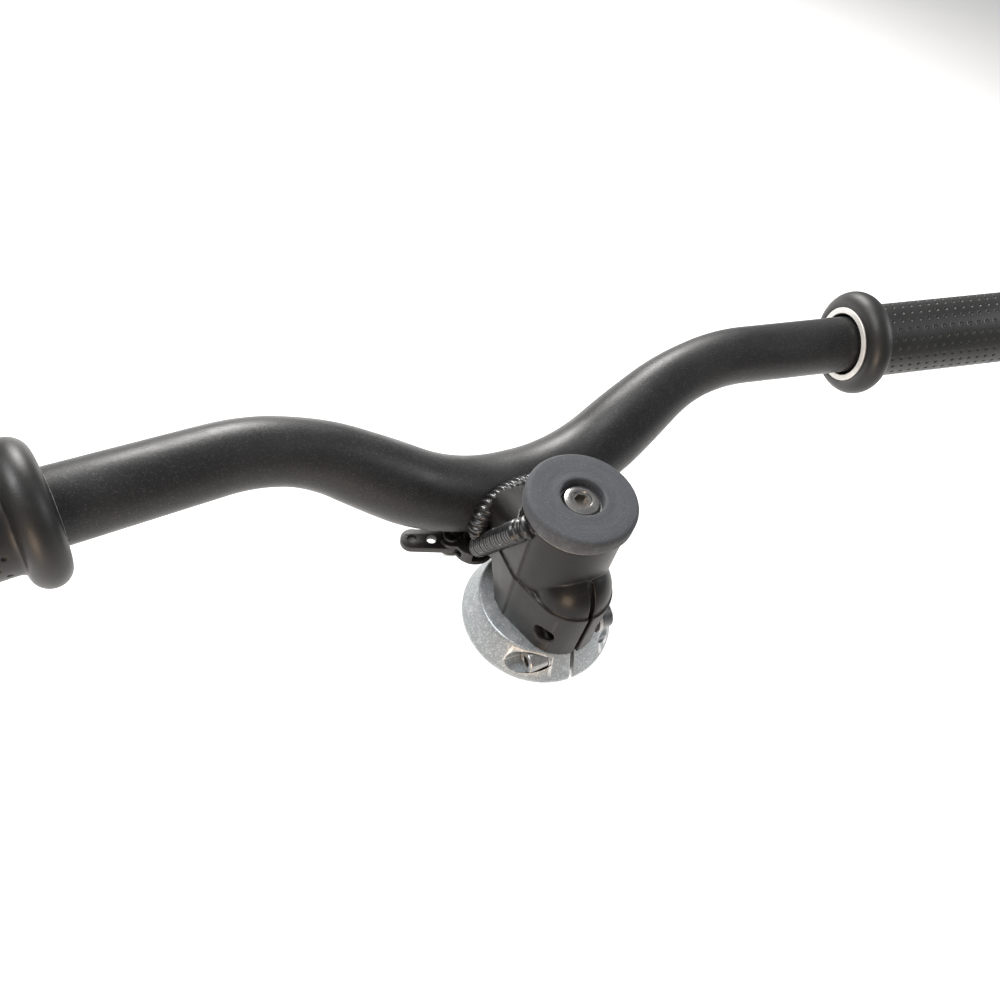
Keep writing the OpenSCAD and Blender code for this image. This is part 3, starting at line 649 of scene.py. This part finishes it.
class STEM_OT_bar(bpy.types.Operator):
    """Bends and tapers the riser bar from one straight tube"""
    bl_idname = "stem.bar"
    bl_label = "Riser bar"

    def execute(self, context):
        s = context.scene.stem_sizes
        corner_a, corner_b, rise_dir, end_dir, tip = bar_line()
        bar_r, end_r = s.bar_d / 2, s.bar_end_d / 2
        clear_selection()
        bpy.ops.mesh.primitive_circle_add(vertices=64, radius=bar_r, location=(0, s.bar_y, s.bar_z),
                                          rotation=(0, math.radians(90), 0))
        bar = context.object
        bar.name = bar.data.name = "riser_bar"
        bpy.ops.object.transform_apply()
        edit(bar)
        bpy.ops.mesh.select_all(action="SELECT")
        rings = []
        at = Vector((0, s.bar_y, s.bar_z))
        bends = [(corner_a, X, rise_dir), (corner_b, rise_dir, end_dir)]
        steps = 28
        for corner, before, after in bends:
            run = corner - before * s.bend_run - at
            for i in range(6):
                bpy.ops.mesh.extrude_edges_move(TRANSFORM_OT_translate={"value": run / 6})
                rings.append((at + run * (i + 1) / 6, before))
            centre, _, axis, angle = bend_at(corner, before, after)
            bpy.ops.mesh.spin(steps=steps, angle=-angle, center=centre, axis=axis)
            start = corner - before * s.bend_run - centre
            for i in range(steps):
                turn = Matrix.Rotation(angle * (i + 1) / steps, 3, axis)
                rings.append((centre + turn @ start, turn @ before))
            at = corner + after * s.bend_run
        run = tip - at
        for i in range(4):
            bpy.ops.mesh.extrude_edges_move(TRANSFORM_OT_translate={"value": run / 4})
            rings.append((at + run * (i + 1) / 4, end_dir))
        for centre, direction in rings:
            t = min(max((centre.x - s.taper_start) / (s.taper_stop - s.taper_start), 0), 1)
            factor = 1 + (end_r / bar_r - 1) * t * t * (3 - 2 * t)
            if factor < 1:
                ring_near(bar, centre, direction, 1.3 * bar_r)
                bpy.ops.transform.resize(value=(factor,) * 3, center_override=centre)
        bpy.ops.object.mode_set(mode="OBJECT")
        modify(bar, "MIRROR", use_axis=(True, False, False), use_mirror_merge=True,
               merge_threshold=1e-5)
        settle(bar)
        modify(bar, "SOLIDIFY", thickness=s.bar_wall, offset=-1)
        smooth(bar, 40)
        hand_over(bar, "stem", "bar_black", bar_coat(), "handlebar")
        return {"FINISHED"}


class STEM_OT_forging(bpy.types.Operator):
    """Casts the steerer clamp and the extension with soft, coated edges"""
    bl_idname = "stem.forging"
    bl_label = "Clamp and extension"

    def execute(self, context):
        clamp = blank("clamp_forging", "steerer_clamp")
        cast(clamp, 0.33 * MM, 4)
        hand_over(clamp, "stem", "clamp_black", forging_coat(), "steerer_clamp")
        extension = blank("extension_box", "stem_extension")
        cast(extension, 0.4 * MM, 6)
        hand_over(extension, "stem", "clamp_black", forging_coat(), "stem_extension")
        return {"FINISHED"}


def ripple_bead(name, stations, radius, pitch, lean):
    """Lays one coin of weld metal after another, and fuses them into a rippled bead."""
    overlap = 0.92   # a coin's half thickness in pitches: smaller gives deeper ripples
    clear_selection()
    bpy.ops.mesh.primitive_uv_sphere_add(segments=20, ring_count=12, radius=radius)
    coin = bpy.context.object
    bpy.ops.object.mode_set(mode="EDIT")
    bpy.ops.mesh.select_all(action="SELECT")
    bpy.ops.transform.resize(value=(1, 1, overlap * pitch / radius))
    bpy.ops.object.mode_set(mode="OBJECT")
    coins = []
    for number, (at, along, outward) in enumerate(stations):
        copy = twin(coin, f"coin_{number}")
        swell = 1 + 0.025 * math.sin(number * 2.4)
        copy.data.transform(stance(at, along + outward * lean, outward) @ Matrix.Scale(swell, 4))
        coins.append(copy)
    bpy.data.objects.remove(coin)
    bead = join(name, coins)
    cast(bead, 0.24 * MM, 1, 0.4)
    return bead


class STEM_OT_welds(bpy.types.Operator):
    """Lays the rippled weld beads round both ends of the extension"""
    bl_idname = "stem.welds"
    bl_label = "Weld beads"

    def execute(self, context):
        s = context.scene.stem_sizes
        self.bar_bead(s)
        self.clamp_bead(s)
        return {"FINISHED"}

    def bar_bead(self, s):
        """The closed bead where the extension meets the bar."""
        corner_a, _, rise_dir, *_ = bar_line()
        radius = bend_at(corner_a, X, rise_dir)[1]
        inward = (rise_dir - X * rise_dir.x).normalized()
        bar_r = s.bar_d / 2
        reach = math.radians(50)
        half = s.ext_w / 2 + 0.8 * MM
        stand = 0.8 * MM   # how far the bead's middle stands off the bar

        def spot(turn):
            x, tilt = half * math.cos(turn), reach * math.sin(turn)
            over = max(0.0, abs(x) - (s.mid_half - s.bend_run))
            middle = Vector((x, s.bar_y, s.bar_z)) + inward * (radius - math.sqrt(radius ** 2 - over ** 2))
            outward = Vector((0, -math.cos(tilt), math.sin(tilt)))
            return middle + outward * (bar_r + stand), outward

        fine = [spot(2 * math.pi * i / 720) for i in range(721)]
        length = sum((fine[i + 1][0] - fine[i][0]).length for i in range(720))
        count = round(length / s.bar_ripple)
        stations, run, due = [], 0.0, 0.0
        for i in range(720):
            if run >= due and len(stations) < count:
                along = (fine[i + 1][0] - fine[i][0]).normalized()
                stations.append((fine[i][0], along, fine[i][1]))
                due += length / count
            run += (fine[i + 1][0] - fine[i][0]).length
        bead = ripple_bead("bar_weld_bead", stations, s.bar_bead_r, s.bar_ripple, 0.35)
        hand_over(bead, "stem", "weld_black", bead_coat(), "bar_weld")

    def clamp_bead(self, s):
        """The bead that runs up one side of the clamp joint, over the top and down the other."""
        top = Vector((0, 0, s.clamp_h - JOINT_DROP))
        foot = Vector((0, s.steerer_d / 2 + JOINT_REACH, s.bar_z - JOINT_FALL))
        down = (foot - top).normalized()
        leg_end = (foot - top).length
        half = s.ext_w / 2 + 0.4 * MM
        corner = 4.5 * MM
        leg = leg_end - corner
        bend = corner * math.pi / 2
        flat = 2 * (half - corner)
        total = 2 * leg + 2 * bend + flat

        def spot(run):
            if run > total / 2:
                at, outward = spot(total - run)
                return Vector((-at.x, at.y, at.z)), Vector((-outward.x, outward.y, outward.z))
            if run < leg:
                u, v, ou, ov = -half, run, -1.0, 0.0
            elif run < leg + bend:
                turn = (run - leg) / corner
                u, v = -half + corner - corner * math.cos(turn), leg + corner * math.sin(turn)
                ou, ov = -math.cos(turn), math.sin(turn)
            else:
                u, v, ou, ov = -half + corner + run - leg - bend, leg_end, 0.0, 1.0
            tuck = max(0.0, 1 - v / (5 * MM)) ** 2 * 2.4 * MM
            return top + down * v + X * (u + tuck), X * ou + down * ov

        past = 1 * MM
        count = round((total + 2 * past) / s.clamp_ripple)
        stations = []
        for i in range(count + 1):
            run = (total + 2 * past) * i / count - past
            at, outward = spot(run)
            along = (spot(run + 0.1 * MM)[0] - spot(run - 0.1 * MM)[0]).normalized()
            stations.append((at, along, outward))
        bead = ripple_bead("clamp_weld_bead", stations, s.clamp_bead_r, s.clamp_ripple, 0.0)
        bore = rod("bore", s.steerer_d / 2 + 0.6 * MM, -60 * MM, 80 * MM)
        lid = block("lid", (-60 * MM, -60 * MM, s.clamp_h), (60 * MM, 60 * MM, 80 * MM))
        cut(bead, bore, lid)
        pick(bead)
        bpy.ops.object.shade_smooth_by_angle(angle=math.radians(50))
        hand_over(bead, "stem", "weld_black", bead_coat(), "clamp_weld")


class STEM_OT_cap(bpy.types.Operator):
    """Turns the rubber pad, its steel cup and the cap bolt"""
    bl_idname = "stem.cap"
    bl_label = "Cap set"

    def execute(self, context):
        s = context.scene.stem_sizes
        r, h, well = s.pad_d / 2, s.pad_h, s.pad_well_d / 2
        edge = 1.5 * MM
        profile = [(well, 0), (r - 0.4 * MM, 0), (r, 0.4 * MM)]
        profile += arc(r - edge, h - edge, edge, 0, 90, 8)
        profile += [(r - 4 * MM, h - 0.02 * MM), (r - 6 * MM, h - 0.12 * MM),
                    (well + 2.6 * MM, h - 0.16 * MM), (well + 1.5 * MM, h - 0.05 * MM),
                    (well + 1.1 * MM, h)]
        profile += arc(well + 0.6 * MM, h - 0.6 * MM, 0.6 * MM, 90, 180, 4)
        pad = turned("cap_pad_rubber", profile, 96, ring=True)
        place(pad, Vector((0, 0, PAD_LOW.z)), Z, X)
        smooth(pad, 40)
        hand_over(pad, "cap", "pad_rubber", pad_rubber(), "cap_pad")

        low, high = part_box("pad_cup")
        hole, rim, wall, floor_t, wall_h = 3.05 * MM, high.x, 0.6 * MM, 1 * MM, high.z - low.z
        edge = 0.15 * MM
        cup = turned("cap_cup", [(hole, 0), (rim - 0.2 * MM, 0), (rim, 0.2 * MM), (rim, wall_h - edge),
                                 (rim - edge, wall_h), (rim - wall + edge, wall_h),
                                 (rim - wall, wall_h - edge), (rim - wall, floor_t + 0.25 * MM),
                                 (rim - wall - 0.25 * MM, floor_t), (hole, floor_t)], 64, ring=True)
        place(cup, Vector((0, 0, low.z)), Z, X)
        smooth(cup, 30)
        hand_over(cup, "cap", "zinc", zinc_plate(), "pad_cup")

        low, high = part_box("cap_bolt")
        head_r, head_h = high.x, 2.6 * MM
        head = [(head_r - 0.2 * MM, 0), (head_r, 0.2 * MM), (head_r, head_h - 0.7 * MM),
                (head_r - 0.25 * MM, head_h - 0.35 * MM), (head_r - 0.9 * MM, head_h - 0.15 * MM),
                (3.3 * MM, head_h), (2.9 * MM, head_h - 0.05 * MM), (2.65 * MM, head_h - 0.45 * MM)]
        bolt = screw("cap_screw_m6", 3 * MM, 19 * MM, head, 3.7 * MM, 2.0 * MM, 1.0 * MM, 64)
        place(bolt, Vector((0, 0, high.z - head_h)), Z, X)
        hand_over(bolt, "cap_screw", "stainless", bolt_steel(), "cap_bolt")
        return {"FINISHED"}


def socket_head(radius, height, socket_af):
    """Profile of a socket head: chamfered rim and a countersink round the hexagon."""
    return [(radius - 0.15 * MM, 0), (radius, 0.15 * MM), (radius, height - 0.45 * MM),
            (radius - 0.1 * MM, height - 0.2 * MM), (radius - 0.35 * MM, height),
            (socket_af * 0.66, height), (socket_af * 0.58, height - 0.25 * MM)]


class STEM_OT_bolts(bpy.types.Operator):
    """Turns the pinch bolt, the collar bolt and their washers"""
    bl_idname = "stem.bolts"
    bl_label = "Pinch and collar bolts"

    def execute(self, context):
        low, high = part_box("pinch_bolt")
        middle = (low + high) / 2
        head_h, key = 4 * MM, 4 * MM
        pinch = screw("pinch_screw_m5", 2.5 * MM, 14.5 * MM, socket_head(4.25 * MM, head_h, key),
                      key, 2.5 * MM, 0.8 * MM)
        place(pinch, Vector((high.x - head_h, middle.y, middle.z)), X)
        hand_over(pinch, "pinch_screw", "black_steel", dark_steel(), "pinch_bolt")
        low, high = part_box("collar_bolt")
        middle = (low + high) / 2
        head_h, key = 6 * MM, 3 * MM
        collar = screw("collar_screw_m4", 2 * MM, 13 * MM, socket_head(3.5 * MM, head_h, key),
                       key, 2.6 * MM, 0.7 * MM)
        place(collar, Vector((low.x + head_h, middle.y, middle.z)), -X)
        hand_over(collar, "collar_screw", "stainless", bolt_steel(), "collar_bolt")
        for name, node, body in (("pinch_washer_ring", "pinch_washer", "pinch_seat"),
                                 ("collar_washer_ring", "collar_washer", "collar_seat")):
            washer = trimmed(name, node, 0.12 * MM)
            hand_over(washer, body, "zinc", zinc_plate(), node)
        return {"FINISHED"}


class STEM_OT_collar(bpy.types.Operator):
    """Turns the lock collar, saws its slit and mills the pocket for its bolt"""
    bl_idname = "stem.collar"
    bl_label = "Lock collar"

    def execute(self, context):
        s = context.scene.stem_sizes
        r, h, bore = s.collar_d / 2, s.collar_h, s.steerer_d / 2 + 0.2 * MM
        top_r, rim, seal_r = 20.5 * MM, 2.2 * MM, r - 3 * MM
        top = COLLAR_HIGH.z
        chamfer = 0.3 * MM
        profile = [(bore, -h + 1.6 * MM), (seal_r, -h + 1.6 * MM), (seal_r, -h), (r - chamfer, -h),
                   (r, -h + chamfer), (r, -h + rim - 0.5 * MM), (r - 0.08 * MM, -h + rim - 0.1 * MM),
                   (r - 0.3 * MM, -h + rim + 0.3 * MM)]
        slope = (top_r - r) / (top + h - rim)
        profile += [(r + slope * 0.7 * MM, -h + rim + 0.7 * MM), (top_r - slope * 0.8 * MM, top - 0.8 * MM)]
        profile += [(top_r - 0.15 * MM, top - 0.15 * MM), (top_r - 0.6 * MM, top), (bore + chamfer, top),
                    (bore, top - chamfer)]
        collar = turned("lock_collar_ring", profile, 128, ring=True)
        low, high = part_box("collar_bolt")
        y, z = (low.y + high.y) / 2, (low.z + high.z) / 2
        half = s.slit_w / 2
        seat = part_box("collar_washer")[1].x + 0.05 * MM
        slit = block("slit", (-half, -40 * MM, -h - 2 * MM), (half, -5 * MM, 2 * MM))
        cutters = [slit]
        # the bolt's clearance hole, its threaded hole and the pocket for its head
        for radius, x0, x1 in ((2.3 * MM, -20 * MM, 0), (2.05 * MM, 0, 40 * MM),
                               (4.0 * MM, -40 * MM, seat)):
            hole = rod("hole", radius, 0, x1 - x0)
            place(hole, Vector((x0, y, z)), X)
            cutters.append(hole)
        cut(collar, *cutters)
        settle(collar)
        modify(collar, "BEVEL", width=0.18 * MM, segments=2, limit_method="ANGLE",
               angle_limit=math.radians(50), use_clamp_overlap=True)
        smooth(collar, 35)
        hand_over(collar, "collar", "collar_silver", collar_metal(), "lock_collar")
        seal = trimmed("collar_seal_ring", "collar_seal", 0.2 * MM)
        hand_over(seal, "collar", "seal_rubber", seal_rubber(), "collar_seal")
        return {"FINISHED"}


class STEM_OT_grips(bpy.types.Operator):
    """Moulds the dimpled grips and their light rings"""
    bl_idname = "stem.grips"
    bl_label = "Grips"

    def execute(self, context):
        s = context.scene.stem_sizes
        *_, end_dir, tip = bar_line()
        closed, bore = 4 * MM, s.bar_end_d / 2
        start = closed - s.grip_len
        sleeve_r, flange_r = s.grip_d / 2, s.flange_d / 2
        half = s.flange_h / 2
        ring_in, ring_out, ring_t = 10.6 * MM, 12.6 * MM, 1.2 * MM
        round_in = arc(flange_r - half, start + half, half - 0.01 * MM, -90, 90, 12)
        round_out = arc(flange_r - half, closed - half, half - 0.01 * MM, -90, 90, 12)
        first, last = start + s.flange_h + 0.6 * MM, closed - s.flange_h - 0.6 * MM
        rows = 48
        profile = [(bore, 0), (bore, start + 0.01 * MM), (ring_in, start + 0.01 * MM),
                   (ring_in, start + ring_t), (ring_out, start + ring_t), (ring_out, start + 0.01 * MM)]
        profile += round_in[1:] + [(sleeve_r + 0.5 * MM, start + s.flange_h + 0.02 * MM)]
        profile += [(sleeve_r, first + (last - first) * i / rows) for i in range(rows + 1)]
        profile += [(sleeve_r + 0.5 * MM, closed - s.flange_h - 0.02 * MM)] + round_out
        profile += [(5 * MM, closed - 0.01 * MM)]
        grip = turned("grip_right_rubber", profile, s.dimple_ring)
        cell = (last - first) / rows
        sector = 2 * math.pi / s.dimple_ring
        edit(grip, "FACE")

        def dimple(face):
            at = face.calc_center_median()
            if abs(math.hypot(at.x, at.y) - sleeve_r) > 0.2 * MM or not first < at.z < last:
                return False
            row = int((at.z - first) / cell)
            column = int(math.floor((math.atan2(at.y, at.x) % (2 * math.pi)) / sector))
            return column % 2 == 0 and row % 2 == (column // 2) % 2 and 0 < row < rows - 1

        choose(grip, "faces", dimple)
        bpy.ops.mesh.inset(thickness=0.14 * MM, use_individual=True)
        bpy.ops.mesh.inset(thickness=0.36 * MM, depth=-s.dimple_depth, use_individual=True)
        bpy.ops.object.mode_set(mode="OBJECT")
        modify(grip, "SUBSURF", levels=1, render_levels=1)
        smooth(grip, 60)
        left = twin(grip, "grip_left_rubber")
        place(grip, tip, end_dir)
        place_left(left, tip, end_dir)
        hand_over(grip, "stem", "grip_rubber", grip_rubber(), "grip_right")
        hand_over(left, "stem", "grip_rubber", grip_rubber(), "grip_left")

        edge = 0.15 * MM
        ring = turned("grip_ring_right_band",
                      [(ring_in + edge, 0), (ring_out - edge, 0), (ring_out, edge), (ring_out, ring_t - edge),
                       (ring_out - edge, ring_t), (ring_in + edge, ring_t), (ring_in, ring_t - edge),
                       (ring_in, edge)], 64, ring=True)
        smooth(ring, 30)
        other = twin(ring, "grip_ring_left_band")
        place(ring, tip + end_dir * start, end_dir)
        place_left(other, tip + end_dir * start, end_dir)
        hand_over(ring, "stem", "ring_silver", ring_gloss(), "grip_ring_right")
        hand_over(other, "stem", "ring_silver", ring_gloss(), "grip_ring_left")
        return {"FINISHED"}


class STEM_OT_bracket(bpy.types.Operator):
    """Trims the edges of the reflector bracket and its fasteners"""
    bl_idname = "stem.bracket"
    bl_label = "Reflector bracket"

    def execute(self, context):
        base = blank("bracket_base_moulding", "bracket_base")
        cast(base, 0.22 * MM, 2)
        hand_over(base, "stem", "bracket_plastic", bracket_plastic(), "bracket_base")
        arm = trimmed("bracket_arm_moulding", "bracket_arm", 0.35 * MM)
        hand_over(arm, "reflector_arm", "bracket_plastic", bracket_plastic(), "bracket_arm")
        for name, node, slot, coat in (("bracket_bolt_head", "bracket_bolt", "black_steel", dark_steel),
                                       ("bracket_screw_head", "bracket_screw", "zinc", zinc_plate),
                                       ("bracket_hex_nut", "bracket_nut", "zinc", zinc_plate)):
            piece = trimmed(name, node, 0.18 * MM)
            hand_over(piece, "stem", slot, coat(), node)
        return {"FINISHED"}


class STEM_OT_carried(bpy.types.Operator):
    """Gives the CAD nodes that stay as they are their finishes"""
    bl_idname = "stem.carried"
    bl_label = "Inner parts"

    def execute(self, context):
        for node, coat in (("cap_plate", plate_steel), ("star_nut_core", zinc_plate),
                           ("star_nut_springs", zinc_plate)):
            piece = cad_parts[node]
            piece.data.materials.clear()
            piece.data.materials.append(coat())
        return {"FINISHED"}


class STEM_OT_stage(bpy.types.Operator):
    """Sets the camera, the pale floor and the studio lights"""
    bl_idname = "stem.stage"
    bl_label = "Studio"

    def execute(self, context):
        scene = context.scene
        camera_data = bpy.data.cameras.new("studio_camera")
        camera_data.lens, camera_data.sensor_width = 27.0, 36.0
        camera_data.clip_start = 0.01
        camera = bpy.data.objects.new("studio_camera", camera_data)
        right = Vector((0.89719843, -0.40854521, 0.16770747))
        up = -Vector((-0.22834354, -0.75419355, -0.61567143))
        back = -Vector((0.3780135, 0.51408452, -0.76994993))
        turn = Matrix((right, up, back)).transposed().to_4x4()
        camera.matrix_world = Matrix.Translation(Vector((-95.797, -94.483, 200.425)) * MM) @ turn
        scene.collection.objects.link(camera)
        scene.camera = camera

        clear_selection()
        bpy.ops.mesh.primitive_plane_add(size=40, location=(0, 0, -75 * MM))
        floor = context.object
        floor.name = floor.data.name = "studio_floor"
        bpy.ops.object.transform_apply()
        paper = bpy.data.materials.new("studio_paper")
        paper.use_nodes = True
        tree = paper.node_tree
        cloud = use(tree, "Handling patches", smudge_group, Size=0.3)["Patch"]
        shader = tree.nodes["Principled BSDF"]
        pale = mixed(tree, cloud, (0.90, 0.90, 0.90), (0.93, 0.93, 0.93))
        tree.links.new(pale, shader.inputs["Base Color"])
        shader.inputs["Roughness"].default_value = 0.9
        floor.data.materials.append(paper)

        self.softbox("key_box", (0.10, 0.80, 0.55), 0.34, 13.0, (1.0, 0.98, 0.95))
        self.softbox("top_box", (-0.60, 0.25, 0.95), 0.5, 9.0, (1.0, 1.0, 1.0))
        self.softbox("low_warm_box", (-0.45, -0.55, 0.08), 0.30, 2.2, (1.0, 0.74, 0.52))
        self.softbox("edge_box", (0.8, -0.15, 0.45), 0.3, 2.0, (0.97, 0.98, 1.0))
        world = bpy.data.worlds.new("studio_air")
        world.use_nodes = True
        world.node_tree.nodes["Background"].inputs["Color"].default_value = (1.0, 1.0, 1.0, 1.0)
        world.node_tree.nodes["Background"].inputs["Strength"].default_value = 0.42
        scene.world = world
        scene.view_settings.view_transform = "Standard"
        return {"FINISHED"}

    def softbox(self, name, at, width, power, tint):
        """A square soft light that faces the stem."""
        data = bpy.data.lights.new(name, "AREA")
        data.size, data.energy, data.color = width, power, tint
        light = bpy.data.objects.new(name, data)
        light.matrix_world = Matrix.Translation(at) @ Vector(at).to_track_quat("Z", "Y").to_matrix().to_4x4()
        bpy.context.scene.collection.objects.link(light)


class STEM_PT_panel(bpy.types.Panel):
    """Lists the steps and the sizes of the stem"""
    bl_idname = "STEM_PT_panel"
    bl_label = "Welded handlebar stem"
    bl_space_type = "VIEW_3D"
    bl_region_type = "UI"
    bl_category = "Stem"

    def draw(self, context):
        for step in STEPS:
            self.layout.operator(step.bl_idname)
        for group in (context.scene.stem_sizes, context.scene.stem_colours):
            box = self.layout.box()
            for key in group.__annotations__:
                box.prop(group, key)


STEPS = (STEM_OT_stage, STEM_OT_bar, STEM_OT_forging, STEM_OT_welds, STEM_OT_cap, STEM_OT_bolts,
         STEM_OT_collar, STEM_OT_grips, STEM_OT_bracket, STEM_OT_carried)
CLASSES = (StemSizes, StemColours, *STEPS, STEM_PT_panel)


def register():
    """Makes the sizes, the steps and the panel known to Blender."""
    for item in CLASSES:
        bpy.utils.register_class(item)
    bpy.types.Scene.stem_sizes = PointerProperty(type=StemSizes)
    bpy.types.Scene.stem_colours = PointerProperty(type=StemColours)


def unregister():
    """Takes them away again."""
    del bpy.types.Scene.stem_sizes
    del bpy.types.Scene.stem_colours
    for item in reversed(CLASSES):
        bpy.utils.unregister_class(item)


def main():
    register()
    bpy.ops.stem.stage()
    bpy.ops.stem.bar()
    bpy.ops.stem.forging()
    bpy.ops.stem.welds()
    bpy.ops.stem.cap()
    bpy.ops.stem.bolts()
    bpy.ops.stem.collar()
    bpy.ops.stem.grips()
    bpy.ops.stem.bracket()
    bpy.ops.stem.carried()
    clear_selection()


if __name__ == "__main__":
    main()
